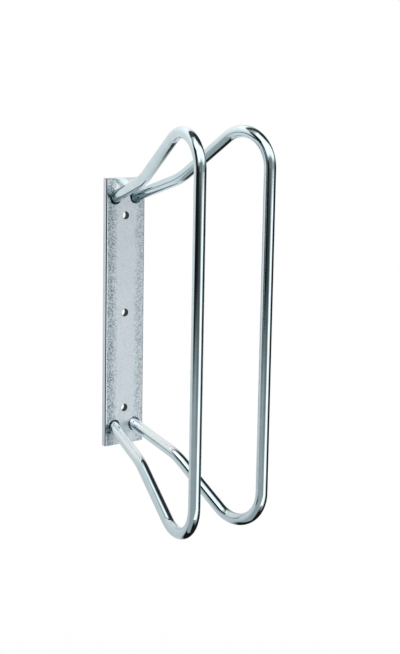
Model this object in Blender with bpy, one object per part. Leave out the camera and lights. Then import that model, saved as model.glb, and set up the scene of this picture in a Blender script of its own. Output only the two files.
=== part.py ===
"""Wall-mounted bike stand: two bent tube hoops, set in a V on a flat steel plate, hold a wheel between them.

Lengths are in metres. +X is to the right as seen from the room, +Y points into the wall, +Z is up.
The origin is the middle of the plate's back face, where the plate lies on the wall.
"""

import math

import bmesh
import bpy
from mathutils import Matrix, Vector
from mathutils.geometry import intersect_line_plane

# Wall plate: a flat bar stood on end
PLATE_WIDTH = 0.075
PLATE_HEIGHT = 0.430
PLATE_THICKNESS = 0.010
PLATE_EDGE_RADIUS = 0.0008

# Three plain screw holes on the plate's centre line
SCREW_HOLE_DIAMETER = 0.012
SCREW_HOLE_PITCH = 0.1555
SCREW_HOLE_COUNT = 3
SCREW_HOLE_SIDES = 32

# Round tube of the hoops
TUBE_DIAMETER = 0.018
TUBE_WALL = 0.002
TUBE_SIDES = 24

# Four tube holes, one near each corner of the plate
TUBE_HOLE_SPACING = 0.039
TUBE_HOLE_TO_PLATE_END = 0.0305
TUBE_INSERTION = 0.005
TUBE_HOLE_CLEARANCE = 0.0003
TUBE_HOLE_SIDES = 40

# Shape of one hoop, in its own upright plane. Reaches run outwards from the tube holes.
HOOP_SPLAY = math.radians(9.7)
HOOP_HEIGHT = 0.612
BAR_REACH = 0.2715
FIRST_BEND_REACH = 0.0965
FIRST_BEND_RISE = 0.035
FIRST_BEND_RADIUS = 0.100
CORNER_RADIUS = 0.052
BEND_STEP = math.radians(7.5)

# Plug welds that fill the back of the tube holes
WELD_CLEARANCE = 0.0003
WELD_RECESS = 0.0005
WELD_EDGE_RADIUS = 0.0004

# Colours of the zinc plate, as linear values
PLATE_COLOUR = (0.55, 0.60, 0.63, 1.0)
TUBE_COLOUR = (0.70, 0.76, 0.78, 1.0)
WELD_COLOUR = (0.42, 0.44, 0.46, 1.0)

LEFT = -1
RIGHT = 1
UPPER = 1
LOWER = -1


def tube_radius():
    return TUBE_DIAMETER / 2


def stub_angle():
    """Slope of the straight tube end, up from level, in the hoop's own plane."""
    return math.atan2(FIRST_BEND_RISE, FIRST_BEND_REACH)


def tube_hole_height():
    return PLATE_HEIGHT / 2 - TUBE_HOLE_TO_PLATE_END


def tube_hole_radius():
    """Lets the slanting tube end in, with the stated clearance where it comes nearest to the hole."""
    slant = math.acos(math.cos(stub_angle()) * math.cos(HOOP_SPLAY))
    return tube_radius() / math.cos(slant) + TUBE_INSERTION / 2 * math.tan(slant) + TUBE_HOLE_CLEARANCE


def tube_end_depth():
    """Distance from the wall to the cut end of a tube, inside its hole."""
    return PLATE_THICKNESS - TUBE_INSERTION


def hoop_anchor_depth():
    """Distance from the wall to the point where a tube's axis crosses its hole's axis."""
    return PLATE_THICKNESS - TUBE_INSERTION / 2


def make_material(name, colour, roughness, metallic):
    material = bpy.data.materials.new(name)
    material.use_nodes = True
    shader = material.node_tree.nodes["Principled BSDF"]
    shader.inputs["Base Color"].default_value = colour
    shader.inputs["Roughness"].default_value = roughness
    shader.inputs["Metallic"].default_value = metallic
    material.diffuse_color = colour
    return material


def make_object(name, bm, material, parent):
    """Turns a bmesh into a smoothly shaded object in the scene."""
    mesh = bpy.data.meshes.new(name)
    bm.normal_update()
    bm.to_mesh(mesh)
    bm.free()
    mesh.materials.append(material)
    mesh.shade_smooth()
    mesh.set_sharp_from_angle(angle=math.radians(40))
    obj = bpy.data.objects.new(name, mesh)
    bpy.context.scene.collection.objects.link(obj)
    obj.parent = parent
    return obj


def disc_mesh(radius, depth, sides):
    """A closed cylinder along Y, centred on its own origin."""
    bm = bmesh.new()
    bmesh.ops.create_cone(bm, cap_ends=True, segments=sides, radius1=radius, radius2=radius, depth=depth)
    bmesh.ops.rotate(bm, verts=bm.verts, matrix=Matrix.Rotation(math.pi / 2, 3, "X"))
    return bm


def plate_holes():
    """Centre, radius and number of sides of each round hole through the plate, as (x, z, radius, sides)."""
    holes = []
    for index in range(SCREW_HOLE_COUNT):
        z = (index - (SCREW_HOLE_COUNT - 1) / 2) * SCREW_HOLE_PITCH
        holes.append((0.0, z, SCREW_HOLE_DIAMETER / 2, SCREW_HOLE_SIDES))
    for side in (LEFT, RIGHT):
        for level in (UPPER, LOWER):
            x = side * TUBE_HOLE_SPACING / 2
            z = level * tube_hole_height()
            holes.append((x, z, tube_hole_radius(), TUBE_HOLE_SIDES))
    return holes


def circle_points(x, z, radius, sides):
    angles = [2 * math.pi * index / sides for index in range(sides)]
    return [(x + radius * math.cos(angle), z + radius * math.sin(angle)) for angle in angles]


def closed_loop(bm, points):
    """Draws a ring of edges through (x, z) points in the plane of the wall."""
    verts = [bm.verts.new((x, 0.0, z)) for x, z in points]
    return [bm.edges.new(pair) for pair in zip(verts, verts[1:] + verts[:1])]


def is_plate_corner(vert):
    off_side = abs(vert.co.x) - PLATE_WIDTH / 2
    off_end = abs(vert.co.z) - PLATE_HEIGHT / 2
    return abs(off_side) < 1e-6 and abs(off_end) < 1e-6


def build_plate(material, parent):
    """The flat bar: outline and hole rims are filled, pulled out to the full thickness, and the outer edges eased."""
    right = PLATE_WIDTH / 2
    top = PLATE_HEIGHT / 2
    bm = bmesh.new()
    edges = closed_loop(bm, [(-right, -top), (right, -top), (right, top), (-right, top)])
    for x, z, radius, sides in plate_holes():
        edges += closed_loop(bm, circle_points(x, z, radius, sides))
    bmesh.ops.triangle_fill(bm, use_beauty=True, use_dissolve=False, edges=edges, normal=(0.0, -1.0, 0.0))
    pulled = bmesh.ops.extrude_face_region(bm, geom=bm.faces[:])["geom"]
    front = [item for item in pulled if isinstance(item, bmesh.types.BMVert)]
    bmesh.ops.translate(bm, verts=front, vec=(0.0, -PLATE_THICKNESS, 0.0))
    bmesh.ops.recalc_face_normals(bm, faces=bm.faces)
    between_corners = [edge for edge in bm.edges if all(is_plate_corner(vert) for vert in edge.verts)]
    outer = [edge for edge in between_corners if edge.calc_face_angle() > math.radians(45)]
    bmesh.ops.bevel(bm, geom=outer, offset=PLATE_EDGE_RADIUS, segments=2, profile=0.5, affect="EDGES")
    return make_object("wall_plate", bm, material, parent)


def arm_angle(centre_reach, centre_height, bend_height):
    """Slope of the arm, which runs from the first bend and just touches the corner's curve."""
    across = centre_reach - FIRST_BEND_REACH
    up = centre_height - bend_height
    return math.atan2(up, across) + math.asin(CORNER_RADIUS / math.hypot(across, up))


def hoop_corners():
    """Sharp corners of the tube's axis, from the upper tube end round to the lower one, as (reach, height)."""
    entry = tube_hole_height()
    bend_height = entry + FIRST_BEND_RISE
    centre_height = HOOP_HEIGHT / 2 - tube_radius() - CORNER_RADIUS
    slope = arm_angle(BAR_REACH - CORNER_RADIUS, centre_height, bend_height)
    corner_height = bend_height + (BAR_REACH - FIRST_BEND_REACH) * math.tan(slope)
    upper = [
        (0.0, entry),
        (FIRST_BEND_REACH, bend_height),
        (BAR_REACH, corner_height),
    ]
    lower = [(reach, -height) for reach, height in reversed(upper)]
    return [Vector((0.0, -reach, height)) for reach, height in upper + lower]


def rounded_path(corners, radii):
    """Points and directions along a line whose inner corners are rounded to the given radii."""
    points = [corners[0]]
    directions = [(corners[1] - corners[0]).normalized()]
    for before, corner, after, radius in zip(corners, corners[1:], corners[2:], radii):
        way_in = (corner - before).normalized()
        way_out = (after - corner).normalized()
        turn = way_in.angle(way_out)
        axis = way_in.cross(way_out).normalized()
        start = corner - way_in * radius * math.tan(turn / 2)
        centre = start + axis.cross(way_in) * radius
        steps = max(2, math.ceil(turn / BEND_STEP))
        for step in range(steps + 1):
            spin = Matrix.Rotation(turn * step / steps, 3, axis)
            points.append(centre + spin @ (start - centre))
            directions.append(spin @ way_in)
    points.append(corners[-1])
    directions.append((corners[-1] - corners[-2]).normalized())
    return points, directions


def ring_points(centre, direction, radius):
    """A circle of points round the tube's axis. The hoop lies in its own YZ plane, so X is always square to it."""
    across = Vector((1.0, 0.0, 0.0))
    outward = direction.cross(across)
    ring = []
    for index in range(TUBE_SIDES):
        angle = 2 * math.pi * index / TUBE_SIDES
        ring.append(centre + across * radius * math.cos(angle) + outward * radius * math.sin(angle))
    return ring


def tube_rings(points, directions, radius, cut_point, cut_normal):
    """Circles along the path. Those at the two ends are slid along the tube to the plane of the cut."""
    rings = [ring_points(point, direction, radius) for point, direction in zip(points, directions)]
    for end in (0, -1):
        way = directions[end]
        rings[end] = [intersect_line_plane(p, p + way, cut_point, cut_normal) for p in rings[end]]
    return rings


def skin_rings(bm, rings):
    """Joins each circle to the next with faces, and returns the two end circles."""
    circles = [[bm.verts.new(point) for point in ring] for ring in rings]
    for first, second in zip(circles, circles[1:]):
        for index in range(TUBE_SIDES):
            following = (index + 1) % TUBE_SIDES
            bm.faces.new((first[index], first[following], second[following], second[index]))
    return circles[0], circles[-1]


def build_hoop(name, side, material, parent):
    """One bent tube with an open bore, turned outwards about an upright line through its two tube holes."""
    splay = side * HOOP_SPLAY
    place = Matrix.Translation((side * TUBE_HOLE_SPACING / 2, -hoop_anchor_depth(), 0.0))
    turned = place @ Matrix.Rotation(splay, 4, "Z")
    to_own_frame = turned.inverted()
    cut_point = to_own_frame @ Vector((0.0, -tube_end_depth(), 0.0))
    cut_normal = to_own_frame.to_3x3() @ Vector((0.0, 1.0, 0.0))
    radii = [FIRST_BEND_RADIUS, CORNER_RADIUS, CORNER_RADIUS, FIRST_BEND_RADIUS]
    points, directions = rounded_path(hoop_corners(), radii)
    bm = bmesh.new()
    outer = skin_rings(bm, tube_rings(points, directions, tube_radius(), cut_point, cut_normal))
    bore = skin_rings(bm, tube_rings(points, directions, tube_radius() - TUBE_WALL, cut_point, cut_normal))
    for rim, inner_rim in zip(outer, bore):
        for index in range(TUBE_SIDES):
            following = (index + 1) % TUBE_SIDES
            bm.faces.new((rim[index], rim[following], inner_rim[following], inner_rim[index]))
    bmesh.ops.recalc_face_normals(bm, faces=bm.faces)
    hoop = make_object(name, bm, material, parent)
    hoop.location = turned.to_translation()
    hoop.rotation_euler = turned.to_euler()
    return hoop


def build_weld(name, side, level, material, parent):
    """A plug of weld behind a tube's cut end, ground just below the plate's back face."""
    front = tube_end_depth() - WELD_CLEARANCE
    depth = front - WELD_RECESS
    bm = disc_mesh(tube_hole_radius() - WELD_CLEARANCE, depth, 32)
    weld = make_object(name, bm, material, parent)
    weld.location = (side * TUBE_HOLE_SPACING / 2, -WELD_RECESS - depth / 2, level * tube_hole_height())
    ease = weld.modifiers.new("eased_edge", "BEVEL")
    ease.width = WELD_EDGE_RADIUS
    ease.segments = 1
    return weld


def clear_scene():
    for obj in list(bpy.data.objects):
        bpy.data.objects.remove(obj, do_unlink=True)


def main():
    clear_scene()
    stand = bpy.data.objects.new("bike_stand", None)
    bpy.context.scene.collection.objects.link(stand)
    plate_zinc = make_material("plate_zinc", PLATE_COLOUR, 0.35, 1.0)
    tube_zinc = make_material("tube_zinc", TUBE_COLOUR, 0.15, 1.0)
    weld_steel = make_material("weld_steel", WELD_COLOUR, 0.5, 1.0)
    build_plate(plate_zinc, stand)
    for side, side_name in ((LEFT, "left"), (RIGHT, "right")):
        build_hoop(side_name + "_hoop", side, tube_zinc, stand)
        for level, level_name in ((UPPER, "upper"), (LOWER, "lower")):
            build_weld("rear_weld_%s_%s" % (level_name, side_name), side, level, weld_steel, stand)


main()
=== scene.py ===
"""Wall-mounted bike stand: two bent tube hoops, set in a V on a flat steel plate, hold a wheel between them.

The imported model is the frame. Each of its solids is replaced by a finer piece of the same size in the same place.
Lengths are in metres. +X is to the right as seen from the room, +Y points into the wall, +Z is up, and the origin
is the middle of the plate's back face.
"""

import logging
import math
from collections.abc import Callable, Iterator, Mapping
from dataclasses import dataclass
from enum import Enum

import bmesh
import bpy
from mathutils import Matrix, Vector


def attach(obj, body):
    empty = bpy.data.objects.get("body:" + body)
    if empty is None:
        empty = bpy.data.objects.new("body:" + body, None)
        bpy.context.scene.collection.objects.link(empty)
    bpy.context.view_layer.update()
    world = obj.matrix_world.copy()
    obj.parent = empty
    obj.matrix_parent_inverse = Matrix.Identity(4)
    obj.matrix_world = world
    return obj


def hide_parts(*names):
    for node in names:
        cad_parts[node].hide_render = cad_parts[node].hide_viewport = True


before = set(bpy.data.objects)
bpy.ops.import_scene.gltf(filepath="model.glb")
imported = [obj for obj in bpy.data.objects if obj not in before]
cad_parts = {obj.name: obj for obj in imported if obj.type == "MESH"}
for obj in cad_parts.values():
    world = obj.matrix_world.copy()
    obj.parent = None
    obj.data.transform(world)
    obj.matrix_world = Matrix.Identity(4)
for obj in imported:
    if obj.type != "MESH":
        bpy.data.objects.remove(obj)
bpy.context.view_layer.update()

BODY = "root"
# Corners less than this apart, in metres, are taken as one.
NEAR = 1e-5
# How far apart the screw holes are, how far apart the tube holes are across, and how high those are above the middle.
SCREW_HOLE_PITCH = 0.1555
TUBE_HOLE_SPACING = 0.039
TUBE_HOLE_HEIGHT = 0.1845
# The attribute that says where each corner of a tube lay before the tube was bent.
UNBENT = "straightened"

log = logging.getLogger("bike_stand")

Colour = tuple[float, float, float, float]
Triple = tuple[float, float, float]
Span = tuple[float, float]

WHITE: Colour = (1.0, 1.0, 1.0, 1.0)
ORIGIN: Triple = (0.0, 0.0, 0.0)
# Turns a flat shape that was drawn on the floor so that it stands and faces the room.
STANDING: Triple = (math.pi / 2, 0.0, 0.0)
# The middle of a noise pattern.
NOISE_MIDDLE = 0.5
# The brightness at which the studio's light is fully tinted, and the one at which it is white.
TINT_FADES: Span = (0.1, 1.0)


class Side(Enum):
    """The side of the plate that a hoop or a weld is on, as the sign of its X."""

    LEFT = -1
    RIGHT = 1


class Level(Enum):
    """The end of the plate that a weld is near, as the sign of its Z."""

    UPPER = 1
    LOWER = -1


class Element(Enum):
    """What a selection is made of, with Blender's word for it."""

    CORNERS = "VERT"
    EDGES = "EDGE"
    FACES = "FACE"


# --- Shader maths and nodes ---


def operator(operation: str, swapped: bool = False) -> Callable[["Flow", "Flow | float"], "Flow"]:
    """Makes an operator between a flow and another flow or a plain number.

    Args:
        operation: The Math node's operation.
        swapped: Whether the flow comes second.

    Returns:
        The method for Flow.
    """

    def operate(flow: "Flow", other: "Flow | float") -> "Flow":
        """Adds the Math node."""
        return flow.bench.maths(operation, *((other, flow) if swapped else (flow, other)))

    return operate


@dataclass(frozen=True)
class Flow:
    """A number that changes over a surface: it wraps the socket that gives it, so that shader maths reads as maths."""

    bench: "NodeBench"
    socket: bpy.types.NodeSocket

    __add__ = operator("ADD")
    __radd__ = operator("ADD", swapped=True)
    __sub__ = operator("SUBTRACT")
    __rsub__ = operator("SUBTRACT", swapped=True)
    __mul__ = operator("MULTIPLY")
    __rmul__ = operator("MULTIPLY", swapped=True)
    __truediv__ = operator("DIVIDE")

    def __neg__(self) -> "Flow":
        """Turns the sign round."""
        return self.bench.maths("MULTIPLY", self, -1.0)

    def __abs__(self) -> "Flow":
        """Drops the sign."""
        return self.bench.maths("ABSOLUTE", self)

    def rise(self, start: "Flow | float", end: "Flow | float") -> "Flow":
        """Goes smoothly from 0, where this flow is at start, to 1, where it is at end.

        Args:
            start: The value that gives 0.
            end: The value that gives 1, above or below start.

        Returns:
            The smooth step.
        """
        node = self.bench.add(
            "ShaderNodeMapRange",
            {"interpolation_type": "SMOOTHSTEP"},
            {"Value": self, "From Min": start, "From Max": end},
        )
        return Flow(self.bench, node.outputs["Result"])

    def between(self, start: float, end: float, soft: float) -> "Flow":
        """Is 1 from start to end and 0 outside them, with each edge spread by soft to either side."""
        return self.rise(start - soft, start + soft) * self.rise(end + soft, end - soft)


@dataclass(frozen=True)
class Pattern:
    """A cloudy noise: patches per metre, how many finer layers lie on them, how strong those are, and any stretch."""

    scale: float
    detail: float = 2.0
    strength: float = 0.5
    stretch: Triple | None = None


class NodeBench:
    """The node tree of one material or of the world, and the one place where nodes are added to it."""

    def __init__(self, tree: bpy.types.NodeTree) -> None:
        """Takes a tree and clears it.

        Args:
            tree: The node tree to build in.
        """
        self.tree = tree
        self.tree.nodes.clear()

    def add(
        self,
        kind: str,
        settings: Mapping[str, object] | None = None,
        sockets: Mapping[str | int, object] | None = None,
    ) -> bpy.types.Node:
        """Adds a node of any type.

        Args:
            kind: Blender's name for the node's type.
            settings: The node's own settings, set first.
            sockets: A value, a Flow or another node's socket for each input, by its name or number.

        Returns:
            The new node.
        """
        node = self.tree.nodes.new(kind)
        for name, setting in (settings or {}).items():
            setattr(node, name, setting)
        for key, value in (sockets or {}).items():
            self._feed(node.inputs[key], value)
        return node

    def maths(self, operation: str, *values: "Flow | float", clamped: bool = False) -> Flow:
        """Adds a Math node on flows and plain numbers, with its result kept from 0 to 1 if wanted."""
        node = self.add("ShaderNodeMath", {"operation": operation, "use_clamp": clamped}, dict(enumerate(values)))
        return Flow(self, node.outputs[0])

    def own_place(self) -> bpy.types.NodeSocket:
        """Gives the place on the piece, in metres from the stand's origin."""
        return self.add("ShaderNodeTexCoord").outputs["Object"]

    def split(self, place: bpy.types.NodeSocket) -> tuple[Flow, Flow, Flow]:
        """Takes a place or a direction apart into its X, Y and Z."""
        parts = self.add("ShaderNodeSeparateXYZ", {}, {0: place}).outputs
        return Flow(self, parts["X"]), Flow(self, parts["Y"]), Flow(self, parts["Z"])

    def noise(self, place: bpy.types.NodeSocket, pattern: Pattern) -> Flow:
        """Reads a pattern at a place, which is first scaled along its axes if the pattern has a stretch.

        Args:
            place: Where the pattern is read, in metres.
            pattern: What it is like.

        Returns:
            The pattern, from about 0 to 1, around a half.
        """
        if pattern.stretch:
            scaled = {"Vector": place, "Scale": pattern.stretch}
            place = self.add("ShaderNodeMapping", {"vector_type": "POINT"}, scaled).outputs[0]
        sockets = {"Vector": place, "Scale": pattern.scale, "Detail": pattern.detail, "Roughness": pattern.strength}
        return Flow(self, self.add("ShaderNodeTexNoise", {"noise_dimensions": "3D"}, sockets).outputs["Fac"])

    def blend(
        self, amount: "Flow | float", first: "bpy.types.NodeSocket | Colour", second: "bpy.types.NodeSocket | Colour"
    ) -> bpy.types.NodeSocket:
        """Mixes two colours: an amount of 0 gives the first and 1 the second."""
        node = self.add("ShaderNodeMix", {"data_type": "RGBA"}, {0: amount, 6: first, 7: second})
        return node.outputs[2]

    def coated(
        self, colour: "bpy.types.NodeSocket | Colour", *coats: "tuple[Flow, Colour]"
    ) -> "bpy.types.NodeSocket | Colour":
        """Lays coats over a colour, one after another.

        Args:
            colour: The colour underneath.
            coats: How much of each coat shows, from 0 to 1, with its colour.

        Returns:
            The socket with the colour on top.
        """
        for amount, coat in coats:
            colour = self.blend(amount, colour, coat)
        return colour

    def bump(self, height: Flow, depth: float, over: bpy.types.NodeSocket | None = None) -> bpy.types.NodeSocket:
        """Turns a height from 0 to 1 into a normal, for a relief of that depth in metres, over another one if given."""
        under = {} if over is None else {"Normal": over}
        return self.add("ShaderNodeBump", {}, {"Height": height, "Distance": depth, **under}).outputs["Normal"]

    def _feed(self, socket: bpy.types.NodeSocket, value: object) -> None:
        """Links a flow or a socket to an input, or sets the input's own value.

        Args:
            socket: The input.
            value: What goes into it.
        """
        if isinstance(value, Flow):
            value = value.socket
        if isinstance(value, bpy.types.NodeSocket):
            self.tree.links.new(value, socket)
        else:
            socket.default_value = value


# --- Finishes ---


def new_material(name: str) -> tuple[bpy.types.Material, NodeBench]:
    """Makes an empty material.

    Args:
        name: The material's name.

    Returns:
        The material and the bench for its nodes.
    """
    material = bpy.data.materials.new(name)
    material.use_nodes = True
    return material, NodeBench(material.node_tree)


def close_metal(bench: NodeBench, colour: bpy.types.NodeSocket, roughness: Flow, normal: bpy.types.NodeSocket) -> None:
    """Adds the shader of bare metal and joins it to the material's output.

    Args:
        bench: The material's bench.
        colour: The socket with the colour.
        roughness: The roughness.
        normal: The socket with the bumped normal.
    """
    inputs = {"Base Color": colour, "Metallic": 1.0, "Roughness": roughness, "Normal": normal}
    shader = bench.add("ShaderNodeBsdfPrincipled", {}, inputs)
    bench.add("ShaderNodeOutputMaterial", {}, {"Surface": shader.outputs[0]})


@dataclass(frozen=True)
class BrightTubeZinc:
    """Bright zinc on drawn tube: a cool mirror with faint drawing lines along the tube and a fine speckle.

    The tube has a painted dark reflection where it enters the plate at the top, and a painted highlight on its upper
    side where it enters at the bottom. There its axis is told by its height at the wall and its slope. A reach is a
    Y, and a height is a Z.
    """

    colour: Colour = (0.70, 0.81, 0.845, 1.0)
    clouded: Colour = (0.59, 0.70, 0.745, 1.0)
    # Painted dark reflection: the colour of the tube where it enters the upper tube holes.
    painted_dark_end: Colour = (0.19, 0.30, 0.35, 1.0)
    # Painted highlight: the colour of the tube's upper side near the lower tube holes.
    painted_top_highlight: Colour = (0.98, 1.0, 1.0, 1.0)
    smooth: float = 0.022
    hazy: float = 0.05
    clouds: Pattern = Pattern(55.0, 4.0, 0.6)
    cloud_range: Span = (0.35, 0.7)
    cloud_share: float = 0.5
    cloud_haze: float = 0.6
    speckle: Pattern = Pattern(600.0)
    speckle_range: Span = (0.55, 0.8)
    speckle_share: float = 0.25
    speckle_depth: float = 0.00002
    lines: Pattern = Pattern(700.0, 3.0, 0.6, (1.0, 1.0, 0.02))
    line_range: Span = (0.4, 0.75)
    line_haze: float = 0.4
    line_depth: float = 0.000004
    dark_end_reach: Span = (-0.038, -0.014)
    dark_end_height: Span = (0.14, 0.16)
    top_highlight_reach: Span = (-0.125, -0.085)
    top_highlight_height: Span = (-0.12, -0.15)
    top_highlight_above_axis: Span = (0.0040, 0.0066)
    axis_height: float = -0.1826
    axis_slope: float = 0.3706
    painted_end_share: float = 0.8

    def material(self) -> bpy.types.Material:
        """Makes the material.

        Returns:
            The material.
        """
        material, bench = new_material("bright_tube_zinc")
        place = bench.own_place()
        _, y, z = bench.split(place)
        unbent = bench.add("ShaderNodeAttribute", {"attribute_name": UNBENT}).outputs["Vector"]
        clouds = bench.noise(place, self.clouds).rise(*self.cloud_range)
        speckle = bench.noise(place, self.speckle)
        lines = bench.noise(unbent, self.lines)
        # Painted dark reflection: the tube's colour is darkened where it enters the upper tube holes.
        dark_end_mask = y.rise(*self.dark_end_reach) * z.rise(*self.dark_end_height)
        # Painted highlight: the tube's colour is lightened on its upper side near the lower tube holes.
        above_axis = z - self.axis_height - self.axis_slope * y
        top_highlight_mask = above_axis.rise(*self.top_highlight_above_axis) * y.rise(*self.top_highlight_reach) * z.rise(*self.top_highlight_height)
        colour = bench.coated(
            self.colour,
            (clouds * self.cloud_share + speckle.rise(*self.speckle_range) * self.speckle_share, self.clouded),
            # Painted dark reflection at the upper tube ends.
            (dark_end_mask * self.painted_end_share, self.painted_dark_end),
            # Painted highlight at the lower tube ends.
            (top_highlight_mask * self.painted_end_share, self.painted_top_highlight),
        )
        haze = clouds * self.cloud_haze + lines.rise(*self.line_range) * self.line_haze
        roughness = self.smooth + (self.hazy - self.smooth) * haze
        normal = bench.bump(speckle, self.speckle_depth, bench.bump(lines, self.line_depth))
        close_metal(bench, colour, roughness, normal)
        return material


@dataclass(frozen=True)
class RolledPlateZinc:
    """Bright zinc on rolled flat bar: satin down its middle, and darker, pebbled and specked along its long borders.

    The left arris is polished, with a painted dark reflection line on it, and the right one has a painted highlight.
    The upper end has a painted highlight and is smoother, apart from its left corner. Painted shade darkens the
    drilled screw holes inside and the side faces.
    """

    colour: Colour = (0.76, 0.83, 0.88, 1.0)
    # Darker tone of the borders and patches, and painted shade on the side faces.
    dark_tone_and_flank_shade: Colour = (0.47, 0.55, 0.60, 1.0)
    specked: Colour = (0.06, 0.09, 0.11, 1.0)
    worn: Colour = (0.84, 0.88, 0.90, 1.0)
    # Painted dark reflection: the line along the left arris.
    painted_dark_line: Colour = (0.05, 0.06, 0.08, 1.0)
    # Painted highlight: the colour of the upper end and of the right arris.
    painted_pale_highlight: Colour = (0.97, 0.98, 0.99, 1.0)
    # Painted shade: the colour inside the screw holes.
    shaded_bore: Colour = (0.07, 0.09, 0.10, 1.0)
    satin: float = 0.34
    bright: float = 0.22
    polished: float = 0.05
    cleared: float = 0.09
    left_border: Span = (-0.0140, -0.0270)
    right_border: Span = (0.0165, 0.0265)
    right_strength: float = 0.45
    border_wander: float = 0.012
    border_share: float = 0.9
    patches: Pattern = Pattern(45.0, 3.0, 0.6)
    patch_range: Span = (0.4, 0.8)
    patch_share: float = 0.1
    specks: Pattern = Pattern(1.0, 1.5, stretch=(440.0, 440.0, 540.0))
    speck_range: Span = (0.44, 0.62)
    speck_share: float = 0.52
    stray_share: float = 0.11
    pebbles: Pattern = Pattern(700.0, 2.5, stretch=(1.0, 1.0, 0.75))
    pebble_depth: float = 0.00022
    middle_relief: float = 0.05
    rolling: Pattern = Pattern(160.0, 4.0, 0.6, (1.0, 1.0, 0.12))
    rolling_depth: float = 0.00001
    rolling_haze: float = 0.08
    arris: Span = (0.0345, 0.03546)
    flank: Span = (0.0371, 0.0374)
    flank_share: float = 0.5
    wear_share: float = 0.6
    right_side: Span = (0.0, 0.001)
    dark_line_left: float = -0.0373
    dark_line_right: float = -0.0361
    dark_line_soft: float = 0.0002
    dark_line_share: float = 0.9
    head_height: Span = (0.186, 0.206)
    head_across: Span = (-0.026, -0.008)
    head_gloss: float = 0.16
    corner_height: Span = (0.178, 0.190)
    corner_across: Span = (-0.008, -0.020)
    hole_edge: Span = (0.0064, 0.0061)
    bore_haze: float = 0.25

    def material(self) -> bpy.types.Material:
        """Makes the material.

        Returns:
            The material.
        """
        material, bench = new_material("rolled_plate_zinc")
        place = bench.own_place()
        x, _, z = bench.split(place)
        patches = bench.noise(place, self.patches)
        pebbles = bench.noise(place, self.pebbles)
        rolled = bench.noise(place, self.rolling)
        specks = bench.noise(place, self.specks).rise(*self.speck_range)
        wander = x + (patches - NOISE_MIDDLE) * self.border_wander
        border = wander.rise(*self.left_border) + self.right_strength * wander.rise(*self.right_border)
        arris = abs(x).rise(*self.arris)
        flank = abs(x).rise(*self.flank)
        on_right = x.rise(*self.right_side)
        pebbled = border * (1.0 - arris)
        # The upper end, which gets a painted highlight in its colour and less roughness.
        head = z.rise(*self.head_height) * x.rise(*self.head_across)
        corner = z.rise(*self.corner_height) * x.rise(*self.corner_across)
        # Where painted shade darkens the screw holes inside, which also makes them rougher.
        shaded_bore = self._bore(bench, x, z)
        colour = bench.coated(
            self.colour,
            (pebbled * self.border_share + patches.rise(*self.patch_range) * self.patch_share, self.dark_tone_and_flank_shade),
            # Painted highlight at the upper end.
            (head, self.painted_pale_highlight),
            (corner * self.wear_share, self.worn),
            (arris * self.wear_share, self.worn),
            # Painted highlight on the right arris.
            (arris * on_right, self.painted_pale_highlight),
            # Painted shade on the side faces.
            (flank * self.flank_share, self.dark_tone_and_flank_shade),
            # Painted dark reflection line along the left arris.
            (x.between(self.dark_line_left, self.dark_line_right, self.dark_line_soft) * self.dark_line_share, self.painted_dark_line),
            (
                specks * (1.0 - head) * (bench.maths("SQRT", pebbled) * self.speck_share + self.stray_share),
                self.specked,
            ),
            # Painted shade inside the screw holes.
            (shaded_bore, self.shaded_bore),
        )
        rolling = (rolled - NOISE_MIDDLE) * self.rolling_haze
        roughness = self.satin + (self.bright - self.satin) * border + rolling
        roughness = roughness + (self.polished - roughness) * arris * (1.0 - on_right)
        roughness = roughness + self.bore_haze * shaded_bore - self.head_gloss * head
        roughness = roughness + (self.cleared - roughness) * corner
        relief = pebbled * (1.0 - self.middle_relief) + self.middle_relief
        grain = bench.bump(NOISE_MIDDLE + (pebbles - NOISE_MIDDLE) * relief, self.pebble_depth)
        close_metal(bench, colour, roughness, bench.bump(rolled, self.rolling_depth, grain))
        return material

    def _bore(self, bench: NodeBench, x: Flow, z: Flow) -> Flow:
        """Marks the insides of the screw holes: 1 in them and 0 outside them."""
        from_hole = z - SCREW_HOLE_PITCH * bench.maths("ROUND", z / SCREW_HOLE_PITCH)
        return bench.maths("SQRT", x * x + from_hole * from_hole).rise(*self.hole_edge)


@dataclass(frozen=True)
class GroundWeldZinc:
    """Zinc over weld metal that was ground nearly flush: grey, pitted and scratched."""

    colour: Colour = (0.46, 0.50, 0.53, 1.0)
    pitted: Colour = (0.20, 0.22, 0.23, 1.0)
    ground: float = 0.32
    pits: Pattern = Pattern(700.0, 3.0)
    pit_range: Span = (0.55, 0.75)
    pit_haze: float = 0.25
    pit_sink: float = 0.6
    scratches: Pattern = Pattern(900.0, stretch=(0.06, 1.0, 1.0))
    scratch_haze: float = 0.1
    relief_depth: float = 0.00008

    def material(self) -> bpy.types.Material:
        """Makes the material.

        Returns:
            The material.
        """
        material, bench = new_material("ground_weld_zinc")
        place = bench.own_place()
        pits = bench.noise(place, self.pits).rise(*self.pit_range)
        scratches = bench.noise(place, self.scratches)
        colour = bench.blend(pits, self.colour, self.pitted)
        roughness = self.ground + self.pit_haze * pits + self.scratch_haze * scratches
        normal = bench.bump(scratches - pits * self.pit_sink, self.relief_depth)
        close_metal(bench, colour, roughness, normal)
        return material


# --- Modelling helpers ---


def take(piece: bpy.types.Object) -> None:
    """Makes a piece the active one and the only one that is selected.

    Args:
        piece: The piece.
    """
    bpy.ops.object.select_all(action="DESELECT")
    piece.select_set(True)
    bpy.context.view_layer.objects.active = piece


def open_mesh(piece: bpy.types.Object) -> None:
    """Takes a piece, goes into its mesh and selects the whole of it.

    Args:
        piece: The piece.
    """
    take(piece)
    bpy.ops.object.mode_set(mode="EDIT")
    bpy.ops.mesh.select_all(action="SELECT")


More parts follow.
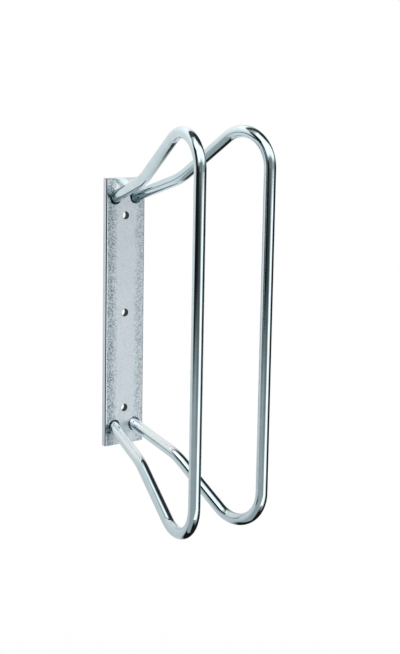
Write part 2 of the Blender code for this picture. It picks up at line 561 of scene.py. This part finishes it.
def open_new(name: str) -> bpy.types.Object:
    """Names the piece that was just added, leaves its object at the origin and opens its mesh.

    Args:
        name: The piece's name.

    Returns:
        The piece.
    """
    piece = bpy.context.active_object
    piece.name = piece.data.name = name
    take(piece)
    bpy.ops.object.transform_apply(location=True, rotation=True, scale=True)
    open_mesh(piece)
    return piece


def close_mesh() -> None:
    """Comes back out of the mesh."""
    bpy.ops.object.mode_set(mode="OBJECT")


def pick(piece: bpy.types.Object, element: Element, wanted: Callable[..., bool]) -> None:
    """Selects, in the open mesh of a piece, whatever passes a test, and nothing else.

    Args:
        piece: The piece whose mesh is open.
        element: Whether corners, edges or faces are picked.
        wanted: The test, given one corner, edge or face.
    """
    bpy.ops.mesh.select_mode(type=element.value)
    bpy.ops.mesh.select_all(action="DESELECT")
    shape = bmesh.from_edit_mesh(piece.data)
    items = {Element.CORNERS: shape.verts, Element.EDGES: shape.edges, Element.FACES: shape.faces}[element]
    for item in [item for item in items if wanted(item)]:
        item.select_set(True)
    bmesh.update_edit_mesh(piece.data)


def turn_picked(angle: float, axis: str) -> None:
    """Turns what is picked about an axis through the origin, right-handed."""
    # With no window Blender turns the other way, hence the minus.
    bpy.ops.transform.rotate(value=-angle, orient_axis=axis, orient_type="GLOBAL", center_override=ORIGIN)


def move_picked(offset: Triple) -> None:
    """Moves what is picked."""
    bpy.ops.transform.translate(value=offset)


def round_picked(radius: float, segments: int) -> None:
    """Rounds the edges that are picked."""
    bpy.ops.mesh.bevel(offset=radius, segments=segments, affect="EDGES")


def face_outwards() -> None:
    """Merges doubled corners of the whole open mesh and turns its faces outwards."""
    bpy.ops.mesh.select_all(action="SELECT")
    bpy.ops.mesh.remove_doubles(threshold=NEAR / 10)
    bpy.ops.mesh.normals_make_consistent(inside=False)


def smooth_piece(piece: bpy.types.Object, sharp_from: float) -> None:
    """Shades a piece smoothly, apart from edges sharper than an angle, and weighs its normals by face size.

    Args:
        piece: The piece to finish.
        sharp_from: The angle from which an edge stays sharp.
    """
    take(piece)
    bpy.ops.object.shade_smooth_by_angle(angle=sharp_from)
    weigh = piece.modifiers.new("weigh_by_face", "WEIGHTED_NORMAL")
    weigh.keep_sharp = True
    bpy.ops.object.modifier_apply(modifier=weigh.name)


def copy_piece(piece: bpy.types.Object, name: str) -> bpy.types.Object:
    """Copies a piece, mesh and all.

    Args:
        piece: The piece to copy.
        name: The copy's name.

    Returns:
        The copy.
    """
    take(piece)
    bpy.ops.object.duplicate(linked=False)
    copied = bpy.context.active_object
    copied.name = copied.data.name = name
    return copied


def hand_over(piece: bpy.types.Object, node: str, finish: bpy.types.Material) -> None:
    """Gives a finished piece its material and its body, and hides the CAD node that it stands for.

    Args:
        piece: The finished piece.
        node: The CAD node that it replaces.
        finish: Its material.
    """
    piece.data.materials.clear()
    piece.data.materials.append(finish)
    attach(piece, BODY)
    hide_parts(node)
    corners, faces = len(piece.data.vertices), len(piece.data.polygons)
    log.info("%s: %d corners, %d faces, finish %s", piece.name, corners, faces, finish.name)


# --- The plate ---


@dataclass(frozen=True)
class RoundHole:
    """One round hole through the plate."""

    x: float
    z: float
    radius: float
    sides: int

    def has_on_ring(self, edge: bmesh.types.BMEdge, radius: float) -> bool:
        """Whether an edge of the mesh lies on the ring of that radius round the hole's axis."""
        distances = (math.hypot(corner.co.x - self.x, corner.co.z - self.z) for corner in edge.verts)
        return all(abs(distance - radius) < NEAR for distance in distances)


@dataclass(frozen=True)
class WallPlate:
    """The flat bar on the wall, with three screw holes on its centre line and four larger holes for the tube ends."""

    width: float = 0.075
    height: float = 0.430
    thickness: float = 0.010
    arris_radius: float = 0.0023
    end_ease: float = 0.0007
    rim_ease: float = 0.0005
    land: float = 0.0015
    strip: float = 0.003
    screw_hole_radius: float = 0.006
    tube_hole_radius: float = 0.011
    hole_sides: int = 96
    arris_segments: int = 6
    ease_segments: int = 3
    square_from: float = math.radians(45)
    sharp_from: float = math.radians(40)

    def holes(self) -> Iterator[RoundHole]:
        """Gives the seven holes.

        Returns:
            The screw holes and then the tube holes.
        """
        for step in (-1, 0, 1):
            yield RoundHole(0.0, step * SCREW_HOLE_PITCH, self.screw_hole_radius, self.hole_sides)
        for side in Side:
            for level in Level:
                x = side.value * TUBE_HOLE_SPACING / 2
                yield RoundHole(x, level.value * TUBE_HOLE_HEIGHT, self.tube_hole_radius, self.hole_sides)

    def build(self, finish: bpy.types.Material) -> None:
        """Models the plate.

        Args:
            finish: The plate's material.
        """
        plate = self._sheet()
        self._thicken()
        self._ease_edges(plate)
        close_mesh()
        smooth_piece(plate, self.sharp_from)
        hand_over(plate, "wall_plate", finish)

    def _sheet(self) -> bpy.types.Object:
        """Draws the front face, with even faces round each hole and along the edges.

        Returns:
            The sheet, with its mesh open.
        """
        middle = (0.0, -self.thickness, 0.0)
        bpy.ops.mesh.primitive_plane_add(size=1.0, location=middle, rotation=STANDING)
        plate = open_new("plate")
        inner_width, inner_height = self.width - 2 * self.strip, self.height - 2 * self.strip
        bpy.ops.transform.resize(value=(inner_width, 1.0, inner_height), center_override=middle)
        bpy.ops.mesh.delete(type="ONLY_FACE")
        for hole in self.holes():
            bpy.ops.mesh.primitive_circle_add(
                vertices=hole.sides,
                radius=hole.radius + self.land,
                fill_type="NOTHING",
                location=(hole.x, -self.thickness, hole.z),
                rotation=STANDING,
            )
        bpy.ops.mesh.select_all(action="SELECT")
        bpy.ops.mesh.fill(use_beauty=True)
        for hole in self.holes():
            outer = hole.radius + self.land
            pick(plate, Element.EDGES, lambda edge: hole.has_on_ring(edge, outer))
            shrink = hole.radius / outer
            bpy.ops.mesh.extrude_edges_move()
            bpy.ops.transform.resize(value=(shrink, 1.0, shrink), center_override=(hole.x, -self.thickness, hole.z))
        for side in Side:
            self._widen(plate, Vector((side.value, 0.0, 0.0)), inner_width / 2)
        for level in Level:
            self._widen(plate, Vector((0.0, 0.0, level.value)), inner_height / 2)
        return plate

    def _widen(self, plate: bpy.types.Object, outwards: Vector, distance: float) -> None:
        """Adds the strip of even faces along one edge of the sheet.

        Args:
            plate: The sheet, with its mesh open.
            outwards: Which way that edge looks.
            distance: How far out it is.
        """

        def is_outermost(edge: bmesh.types.BMEdge) -> bool:
            """Whether an edge of the mesh lies there."""
            return all(abs(corner.co.dot(outwards) - distance) < NEAR for corner in edge.verts)

        pick(plate, Element.EDGES, is_outermost)
        bpy.ops.mesh.extrude_edges_move(TRANSFORM_OT_translate={"value": tuple(outwards * self.strip)})

    def _thicken(self) -> None:
        """Draws the open sheet back to the wall, which closes it into a slab."""
        bpy.ops.mesh.select_mode(type="FACE")
        bpy.ops.mesh.select_all(action="SELECT")
        bpy.ops.mesh.extrude_region_move(TRANSFORM_OT_translate={"value": (0.0, self.thickness, 0.0)})
        face_outwards()

    def _ease_edges(self, plate: bpy.types.Object) -> None:
        """Rounds the long arrises as rolled, takes the sharpness off the sawn ends, and eases the holes' rims.

        Args:
            plate: The slab, with its mesh open.
        """
        half_width, half_height = self.width / 2, self.height / 2

        def is_arris(edge: bmesh.types.BMEdge) -> bool:
            """Tests whether an edge lies on one of the four long ones.

            Args:
                edge: An edge of the mesh.

            Returns:
                Whether it does.
            """
            first, second = (corner.co for corner in edge.verts)
            off = max(abs(abs(first.x) - half_width), abs(first.x - second.x), abs(first.y - second.y))
            return off < NEAR and edge.calc_face_angle(0.0) > self.square_from

        def is_end_edge(edge: bmesh.types.BMEdge) -> bool:
            """Whether an edge runs round one of the sawn ends."""
            at_end = all(abs(abs(corner.co.z) - half_height) < NEAR for corner in edge.verts)
            return at_end and edge.calc_face_angle(0.0) > self.square_from

        def is_rim(edge: bmesh.types.BMEdge) -> bool:
            """Whether an edge is part of a hole's rim, at the front or the back."""
            flat = abs(edge.verts[0].co.y - edge.verts[1].co.y) <= NEAR
            return flat and any(hole.has_on_ring(edge, hole.radius) for hole in self.holes())

        pick(plate, Element.EDGES, is_arris)
        round_picked(self.arris_radius, self.arris_segments)
        pick(plate, Element.EDGES, is_end_edge)
        round_picked(self.end_ease, self.ease_segments)
        pick(plate, Element.EDGES, is_rim)
        round_picked(self.rim_ease, self.ease_segments)


# --- The hoops ---


@dataclass(frozen=True)
class Stretch:
    """One straight run or one bend of the tube's axis, drawn in an upright plane.

    A place in that plane is a reach out from the wall and a height. The heading is the slope of the axis, up from
    level, where the stretch starts. A straight run has no turn, and a bend turns left, upwards, where it is positive.
    """

    reach: float
    height: float
    heading: float
    length: float
    turn: float = 0.0
    bend_radius: float = 0.0

    @property
    def centre(self) -> tuple[float, float]:
        """Reach and height of the point that a bend turns about."""
        off = math.copysign(self.bend_radius, self.turn)
        return self.reach - math.sin(self.heading) * off, self.height + math.cos(self.heading) * off

    def end(self) -> tuple[float, float, float]:
        """Works out where the stretch ends.

        Returns:
            The reach, the height and the heading at its far end.
        """
        if not self.turn:
            return (
                self.reach + math.cos(self.heading) * self.length,
                self.height + math.sin(self.heading) * self.length,
                self.heading,
            )
        heading = self.heading + self.turn
        off = math.copysign(self.bend_radius, self.turn)
        centre_reach, centre_height = self.centre
        return centre_reach + math.sin(heading) * off, centre_height - math.cos(heading) * off, heading

    def station(self, reach: float, height: float) -> tuple[float, float]:
        """Finds how far along the stretch a point of the plane lies, and how far to the left of the axis.

        Args:
            reach: The point's reach.
            height: The point's height.

        Returns:
            The length along the axis and the distance to the left of it.
        """
        ahead = (math.cos(self.heading), math.sin(self.heading))
        if not self.turn:
            across, up = reach - self.reach, height - self.height
            return across * ahead[0] + up * ahead[1], up * ahead[0] - across * ahead[1]
        sign = math.copysign(1.0, self.turn)
        centre_reach, centre_height = self.centre
        across, up = reach - centre_reach, height - centre_height
        forward = across * ahead[0] + up * ahead[1]
        outward = sign * (across * ahead[1] - up * ahead[0])
        angle = math.atan2(forward, outward)
        return angle * self.bend_radius, sign * (self.bend_radius - math.hypot(across, up))


@dataclass(frozen=True)
class TubeHoops:
    """Two bent round tubes. Each is drawn in an upright plane, out from the upper tube hole and back to the lower."""

    tube_radius: float = 0.009
    wall: float = 0.002
    sides: int = 64
    anchor_depth: float = 0.0075
    end_depth: float = 0.005
    splay: float = math.radians(9.7)
    first_bend_reach: float = 0.0965
    first_bend_rise: float = 0.035
    first_bend_radius: float = 0.100
    bar_reach: float = 0.2715
    corner_radius: float = 0.052
    hoop_height: float = 0.612
    spare_end: float = 0.012
    bend_step: float = math.radians(2.5)
    sharp_from: float = math.radians(40)

    def stretches(self) -> list[Stretch]:
        """Lays out the tube's axis from its upper end round to its lower one.

        Returns:
            Five straight runs with the four bends between them.
        """
        stub = math.atan2(self.first_bend_rise, self.first_bend_reach)
        corner_height = self.hoop_height / 2 - self.tube_radius - self.corner_radius
        across = self.bar_reach - self.corner_radius - self.first_bend_reach
        up = corner_height - TUBE_HOLE_HEIGHT - self.first_bend_rise
        to_centre = math.hypot(across, up)
        arm = math.atan2(up, across) + math.asin(self.corner_radius / to_centre)
        first_turn = arm - stub
        first_tangent = self.first_bend_radius * math.tan(first_turn / 2)
        stub_run = self.spare_end + math.hypot(self.first_bend_reach, self.first_bend_rise) - first_tangent
        arm_run = math.sqrt(to_centre**2 - self.corner_radius**2) - first_tangent
        bar_run = 2 * corner_height
        corner_turn = -(arm + math.pi / 2)

        reach = -math.cos(stub) * self.spare_end
        height = TUBE_HOLE_HEIGHT - math.sin(stub) * self.spare_end
        heading = stub
        laid = []
        for run, turn, radius in (
            (stub_run, first_turn, self.first_bend_radius),
            (arm_run, corner_turn, self.corner_radius),
            (bar_run, corner_turn, self.corner_radius),
            (arm_run, first_turn, self.first_bend_radius),
            (stub_run, 0.0, 0.0),
        ):
            laid.append(Stretch(reach, height, heading, run))
            reach, height, heading = laid[-1].end()
            if turn:
                laid.append(Stretch(reach, height, heading, abs(turn) * radius, turn, radius))
                reach, height, heading = laid[-1].end()
        return laid

    def build(self, finish: bpy.types.Material) -> None:
        """Models the left hoop and mirrors a copy of it for the right.

        Args:
            finish: The tube's material.
        """
        left = self._bent_tube()
        self._mark_unbent(left)
        self._place_left(left)
        right = copy_piece(left, "hoop_right")
        open_mesh(right)
        bpy.ops.transform.mirror(orient_type="GLOBAL", constraint_axis=(True, False, False), center_override=ORIGIN)
        face_outwards()
        close_mesh()
        for side, hoop in ((Side.LEFT, left), (Side.RIGHT, right)):
            smooth_piece(hoop, self.sharp_from)
            hand_over(hoop, f"{side.name.lower()}_hoop", finish)

    def _bent_tube(self) -> bpy.types.Object:
        """Draws the tube in the plane x = 0, reaching towards -Y: straight runs are extruded and bends are spun.

        Returns:
            The tube, with its wall, and with spare length at both ends.
        """
        stretches = self.stretches()
        first = stretches[0]
        bpy.ops.mesh.primitive_circle_add(
            vertices=self.sides,
            radius=self.tube_radius,
            fill_type="NGON",
            location=(0.0, -first.reach, first.height),
            rotation=(math.pi / 2 - first.heading, 0.0, 0.0),
        )
        tube = open_new("hoop_left")
        bpy.ops.mesh.select_mode(type="FACE")
        bpy.ops.mesh.inset(thickness=self.wall)
        bpy.ops.mesh.delete(type="FACE")
        bpy.ops.mesh.select_all(action="SELECT")
        for stretch in stretches:
            if stretch.turn:
                centre_reach, centre_height = stretch.centre
                bpy.ops.mesh.spin(
                    steps=math.ceil(abs(stretch.turn) / self.bend_step),
                    angle=stretch.turn,
                    center=(0.0, -centre_reach, centre_height),
                    axis=(1.0, 0.0, 0.0),
                )
            else:
                reach, height, _ = stretch.end()
                offset = (0.0, stretch.reach - reach, height - stretch.height)
                bpy.ops.mesh.extrude_region_move(TRANSFORM_OT_translate={"value": offset})
        face_outwards()
        close_mesh()
        return tube

    def _mark_unbent(self, tube: bpy.types.Object) -> None:
        """Writes on each corner where it lay before the tube was bent, so that drawing lines follow the tube.

        Args:
            tube: The tube, still in the plane that it was drawn in.
        """
        stretches = self.stretches()
        starts = [sum(stretch.length for stretch in stretches[:index]) for index in range(len(stretches))]
        marks = tube.data.attributes.new(UNBENT, "FLOAT_VECTOR", "POINT")
        slack = 2 * NEAR
        for corner, mark in zip(tube.data.vertices, marks.data):
            for start, stretch in zip(starts, stretches):
                along, left = stretch.station(-corner.co.y, corner.co.z)
                if -slack <= along <= stretch.length + slack and abs(left) <= self.tube_radius + slack:
                    mark.vector = (corner.co.x, left, start + along)
                    break

    def _place_left(self, tube: bpy.types.Object) -> None:
        """Turns the tube outwards, moves it to its holes and cuts both ends flush inside the plate.

        Args:
            tube: The tube that becomes the left hoop.
        """
        open_mesh(tube)
        turn_picked(-self.splay, "Z")
        move_picked((-TUBE_HOLE_SPACING / 2, -self.anchor_depth, 0.0))
        bpy.ops.mesh.bisect(
            plane_co=(0.0, -self.end_depth, 0.0), plane_no=(0.0, 1.0, 0.0), use_fill=True, clear_outer=True
        )
        face_outwards()
        close_mesh()


# --- The welds behind the plate ---


@dataclass(frozen=True)
class RearWelds:
    """Four plugs of weld metal that fill the backs of the tube holes, ground just below the plate's back face."""

    radius: float = 0.0107
    front: float = 0.0047
    back: float = 0.0005
    sides: int = 64
    edge_ease: float = 0.0004
    ripple_count: int = 6
    ripple_depth: float = 0.00012
    unevenness: float = 0.00009
    seed: int = 7
    edge_segments: int = 2
    flat_from: float = 0.99
    sharp_from: float = math.radians(50)

    def build(self, finish: bpy.types.Material) -> None:
        """Models one plug and copies it to the other three holes.

        Args:
            finish: The weld's material.
        """
        pattern = self._plug()
        for side in Side:
            for level in Level:
                place = f"{level.name.lower()}_{side.name.lower()}"
                plug = copy_piece(pattern, f"weld_{place}")
                open_mesh(plug)
                quarter_turns = side.value + 2 * level.value
                turn_picked(quarter_turns * math.pi / 2, "Y")
                move_picked((side.value * TUBE_HOLE_SPACING / 2, 0.0, level.value * TUBE_HOLE_HEIGHT))
                close_mesh()
                smooth_piece(plug, self.sharp_from)
                hand_over(plug, f"rear_weld_{place}", finish)
        bpy.data.objects.remove(pattern)

    def _plug(self) -> bpy.types.Object:
        """Models a plug on the Y axis, with the rings of its weld passes ground almost away.

        Returns:
            The plug.
        """
        depth = self.front - self.back
        bpy.ops.mesh.primitive_cylinder_add(
            vertices=self.sides,
            radius=self.radius,
            depth=depth,
            location=(0.0, -self.back - depth / 2, 0.0),
            rotation=STANDING,
        )
        plug = open_new("weld_pattern")
        pick(plug, Element.EDGES, lambda edge: abs(edge.verts[0].co.y - edge.verts[1].co.y) < NEAR)
        round_picked(self.edge_ease, self.edge_segments)
        pick(plug, Element.FACES, lambda face: face.normal.y > self.flat_from and len(face.verts) == self.sides)
        step = (self.radius - self.edge_ease) / (self.ripple_count + 1)
        for ring in range(self.ripple_count):
            sink = self.ripple_depth if ring % 2 else -self.ripple_depth
            bpy.ops.mesh.inset(thickness=step, depth=sink)
        bpy.ops.mesh.poke()
        pick(
            plug,
            Element.CORNERS,
            lambda corner: corner.co.y > -self.back - 2 * self.ripple_depth
            and math.hypot(corner.co.x, corner.co.z) < self.radius - self.edge_ease - step / 2,
        )
        bpy.ops.transform.vertex_random(offset=self.unevenness, seed=self.seed)
        move_picked((0.0, -self.ripple_depth, 0.0))
        face_outwards()
        close_mesh()
        return plug


# --- The studio ---


@dataclass(frozen=True)
class StudioPanel:
    """One soft-edged area of the studio, as the bright metal mirrors it.

    Angles are in degrees. Across is 0 towards the room, 90 to the right and 180 into the wall, and up is above level.
    The leans are how far the left and the right edge move across for each degree up, from the panel's bottom. The
    softness is how far the sides and the ends spread to either side.
    """

    name: str
    left: float
    right: float
    bottom: float
    top: float
    brightness: float
    lean: Span = (0.0, 0.0)
    soft: Span = (5.0, 4.0)

    def lay_over(self, light: Flow | float, across: Flow, up: Flow) -> Flow:
        """Lays this panel over what is behind it.

        Args:
            light: The brightness behind the panel.
            across: The direction's angle across.
            up: The direction's angle up.

        Returns:
            The brightness with the panel in front.
        """
        left_lean, right_lean = self.lean
        side_soft, end_soft = self.soft
        from_left = across - self.left
        to_right = self.right - across
        if left_lean:
            from_left = from_left - left_lean * (up - self.bottom)
        if right_lean:
            to_right = to_right + right_lean * (up - self.bottom)
        shown = from_left.rise(-side_soft, side_soft) * to_right.rise(-side_soft, side_soft)
        shown = shown * up.between(self.bottom, self.top, end_soft)
        return light + (self.brightness - light) * shown


def tinted(bench: NodeBench, light: Flow, shade: Colour) -> bpy.types.NodeSocket:
    """Turns a brightness into a colour, cooler where it is dim.

    Args:
        bench: The bench to add nodes on.
        light: The brightness.
        shade: The tint of the dim parts.

    Returns:
        The socket with the coloured light.
    """
    tint = bench.blend(light.rise(*TINT_FADES), shade, WHITE)
    return bench.add("ShaderNodeVectorMath", {"operation": "SCALE"}, {"Vector": tint, "Scale": light}).outputs[0]


@dataclass(frozen=True)
class BackBoard:
    """The white board that the plate stands against, as the bright metal mirrors it. The camera looks through it.

    Its bottom edge rises towards the right, from corner_start on. A stop is a height and the brightness there.
    """

    left: float = -0.610
    right: float = 0.280
    bottom: float = -0.665
    top: float = 0.765
    left_soft: float = 0.090
    right_soft: float = 0.176
    bottom_soft: float = 0.110
    top_soft: float = 0.090
    corner_start: float = 0.03
    corner_rise: float = 0.85
    behind: float = 0.004
    stops: tuple[Span, ...] = ((-0.6, 0.68), (-0.3, 0.741), (0.0, 0.864), (0.3, 0.884), (0.6, 1.32))
    fall_to_left: float = 0.300

    def build(self, shade: Colour) -> None:
        """Sets the board up.

        Args:
            shade: The tint of its dim parts.
        """
        left, right = self.left - self.left_soft, self.right + self.right_soft
        bottom, top = self.bottom - self.bottom_soft, self.top + self.top_soft
        bpy.ops.mesh.primitive_plane_add(size=1.0, rotation=STANDING)
        board = open_new("back_board")
        bpy.ops.transform.resize(value=(right - left, 1.0, top - bottom), center_override=ORIGIN)
        move_picked(((left + right) / 2, self.behind, (bottom + top) / 2))
        close_mesh()
        board.visible_camera = board.visible_diffuse = board.visible_shadow = False
        board.data.materials.append(self._paint(shade))

    def _paint(self, shade: Colour) -> bpy.types.Material:
        """Makes the board's light: brighter towards its top, and fading out round its edges.

        Args:
            shade: The tint of its dim parts.

        Returns:
            The material.
        """
        material, bench = new_material("lit_board")
        x, _, z = bench.split(bench.own_place())
        light = self.stops[0][1]
        for (low, dim), (high, bright) in zip(self.stops, self.stops[1:]):
            light = light + (bright - dim) * bench.maths("MULTIPLY", z - low, 1.0 / (high - low), clamped=True)
        light = light * (1.0 - self.fall_to_left * bench.maths("MULTIPLY", x, -1.0, clamped=True))
        solid = x.rise(self.left - self.left_soft, self.left + self.left_soft)
        solid = solid * x.rise(self.right + self.right_soft, self.right - self.right_soft)
        over = z - self.corner_rise * bench.maths("MAXIMUM", x - self.corner_start, 0.0)
        solid = solid * over.rise(self.bottom - self.bottom_soft, self.bottom + self.bottom_soft)
        solid = solid * z.rise(self.top + self.top_soft, self.top - self.top_soft)
        clear = bench.add("ShaderNodeBsdfTransparent")
        lit = bench.add("ShaderNodeEmission", {}, {"Color": tinted(bench, light, shade), "Strength": 1.0})
        mixed = bench.add("ShaderNodeMixShader", {}, {0: solid, 1: clear.outputs[0], 2: lit.outputs[0]})
        bench.add("ShaderNodeOutputMaterial", {}, {"Surface": mixed.outputs[0]})
        return material


@dataclass(frozen=True)
class Studio:
    """The plain soft studio: light areas with dark gaps between them, a pale floor and the camera.

    Only what the metal mirrors sees the light areas and the gaps. To all else the studio is plain white. The ground
    is the light where no panel is. Past the board's left and right, across, the studio behind it is dark.
    """

    ground: float = 0.404
    panels: tuple[StudioPanel, ...] = (
        StudioPanel("under", -56.0, 190.0, -94.0, -53.5, 0.008, lean=(0.52, 0.0), soft=(11.7, 9.0)),
        StudioPanel("above", -200.0, 200.0, 67.2, 95.0, 0.72),
        StudioPanel("overhead", -96.6, 88.0, 27.2, 85.4, 1.42, lean=(0.13, -1.5), soft=(13.2, 8.7)),
        StudioPanel("drop_left", -67.5, -34.2, 15.8, 33.5, 1.36, lean=(0.0, 0.40), soft=(8.2, 6.3)),
        StudioPanel("drop_right", 15.4, 77.3, 14.5, 42.6, 1.34, lean=(0.0, 0.16), soft=(5.8, 7.8)),
        StudioPanel("left_flag", -118.5, -80.2, -12.4, 40.4, 0.02, lean=(0.0, 0.09), soft=(2.2, 2.3)),
        StudioPanel("left_low", -112.3, -49.6, -11.0, 6.5, 0.01, lean=(0.94, 1.5), soft=(3.9, 2.6)),
        StudioPanel("middle_low", -45.0, -2.0, -12.9, 9.2, 0.05, lean=(-1.5, -1.5), soft=(14.0, 5.8)),
        StudioPanel("middle_high", -49.5, -2.6, -4.2, 19.4, 0.24, lean=(0.0, 0.30), soft=(5.0, 2.3)),
        StudioPanel("gap", 2.9, 49.0, -0.9, 9.1, 0.42, soft=(4.4, 1.5)),
        StudioPanel("strip_edge", 13.8, 51.0, -45.6, -10.5, 0.58, lean=(0.0, 0.50), soft=(3.7, 1.0)),
        StudioPanel("strip", -37.1, 21.2, -44.5, -4.6, 1.42, lean=(1.17, 0.57), soft=(11.1, 1.0)),
        StudioPanel("right_flag", 47.0, 150.0, -87.7, 7.9, 0.015, soft=(8.0, 9.0)),
        StudioPanel("right_high", 90.0, 150.0, 5.0, 80.0, 0.03, lean=(-0.58, 0.0), soft=(4.0, 4.0)),
        StudioPanel("strip_head", 38.8, 42.6, -12.2, -2.0, 0.80, soft=(1.5, 1.4)),
    )
    behind_low: float = 0.01
    behind_high: float = 0.07
    behind_left: float = -122.0
    behind_right: float = 118.0
    behind_soft: float = 6.0
    behind_level: float = 15.0
    shade: Colour = (0.90, 1.0, 1.02, 1.0)
    floor_height: float = -0.85
    floor_half: float = 7.0
    camera_place: Triple = (-1.362789, -1.880567, 0.403060)
    camera_azimuth: float = math.radians(-39.046)
    camera_elevation: float = math.radians(10.403)
    camera_roll: float = math.radians(1.033)
    focal_px: float = 1470.186
    frame_height_px: int = 654
    sensor_mm: float = 36.0

    def build(self) -> None:
        """Makes the light, the floor and the camera."""
        self._light()
        BackBoard().build(self.shade)
        self._floor()
        self._camera()
        log.info("studio: light with %s, floor and camera", ", ".join(panel.name for panel in self.panels))

    def _light(self) -> None:
        """Makes the world, whose light is told by its direction."""
        world = bpy.data.worlds.new("studio_light")
        world.use_nodes = True
        bpy.context.scene.world = world
        bench = NodeBench(world.node_tree)
        x, y, z = bench.split(bench.add("ShaderNodeTexCoord").outputs["Generated"])
        across = bench.maths("ARCTAN2", x, -y) * math.degrees(1.0)
        up = bench.maths("ARCSINE", z) * math.degrees(1.0)
        light = self.ground
        for panel in self.panels:
            light = panel.lay_over(light, across, up)
        on_left = across.rise(self.behind_left + self.behind_soft, self.behind_left - self.behind_soft)
        on_right = across.rise(self.behind_right - self.behind_soft, self.behind_right + self.behind_soft)
        dark = self.behind_low + (self.behind_high - self.behind_low) * up.rise(-self.behind_level, self.behind_level)
        light = light + (dark - light) * bench.maths("MAXIMUM", on_left, on_right)
        lit = tinted(bench, light, self.shade)
        mirrored = Flow(bench, bench.add("ShaderNodeLightPath").outputs["Is Glossy Ray"])
        shown = bench.blend(mirrored, WHITE, lit)
        background = bench.add("ShaderNodeBackground", {}, {"Color": shown, "Strength": 1.0})
        bench.add("ShaderNodeOutputWorld", {}, {"Surface": background.outputs[0]})

    def _floor(self) -> None:
        """Lays the pale floor far below the stand."""
        bpy.ops.mesh.primitive_plane_add(size=2 * self.floor_half, location=(0.0, 0.0, self.floor_height))
        floor = bpy.context.active_object
        floor.name = floor.data.name = "floor"
        floor.visible_glossy = False
        material, bench = new_material("pale_floor")
        painted = bench.add("ShaderNodeBsdfDiffuse", {}, {"Color": WHITE})
        bench.add("ShaderNodeOutputMaterial", {}, {"Surface": painted.outputs[0]})
        floor.data.materials.append(material)

    def _camera(self) -> None:
        """Sets the camera where the photograph was taken from."""
        azimuth, elevation, roll = self.camera_azimuth, self.camera_elevation, self.camera_roll
        flat = math.cos(elevation)
        back = Vector((math.sin(azimuth) * flat, -math.cos(azimuth) * flat, math.sin(elevation)))
        level = Vector((math.cos(azimuth), math.sin(azimuth), 0.0))
        upright = back.cross(level)
        right = level * math.cos(roll) + upright * math.sin(roll)
        up = upright * math.cos(roll) - level * math.sin(roll)
        data = bpy.data.cameras.new("camera")
        data.sensor_width = self.sensor_mm
        data.lens = self.focal_px * self.sensor_mm / self.frame_height_px
        camera = bpy.data.objects.new("camera", data)
        place = Matrix.Translation(Vector(self.camera_place))
        camera.matrix_world = place @ Matrix((right, up, back)).transposed().to_4x4()
        bpy.context.scene.collection.objects.link(camera)
        bpy.context.scene.camera = camera
        bpy.context.scene.view_settings.view_transform = "Standard"


def main() -> None:
    """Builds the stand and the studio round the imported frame."""
    logging.basicConfig(level=logging.INFO, format="%(name)s: %(message)s")
    WallPlate().build(RolledPlateZinc().material())
    TubeHoops().build(BrightTubeZinc().material())
    RearWelds().build(GroundWeldZinc().material())
    Studio().build()


if __name__ == "__main__":
    main()
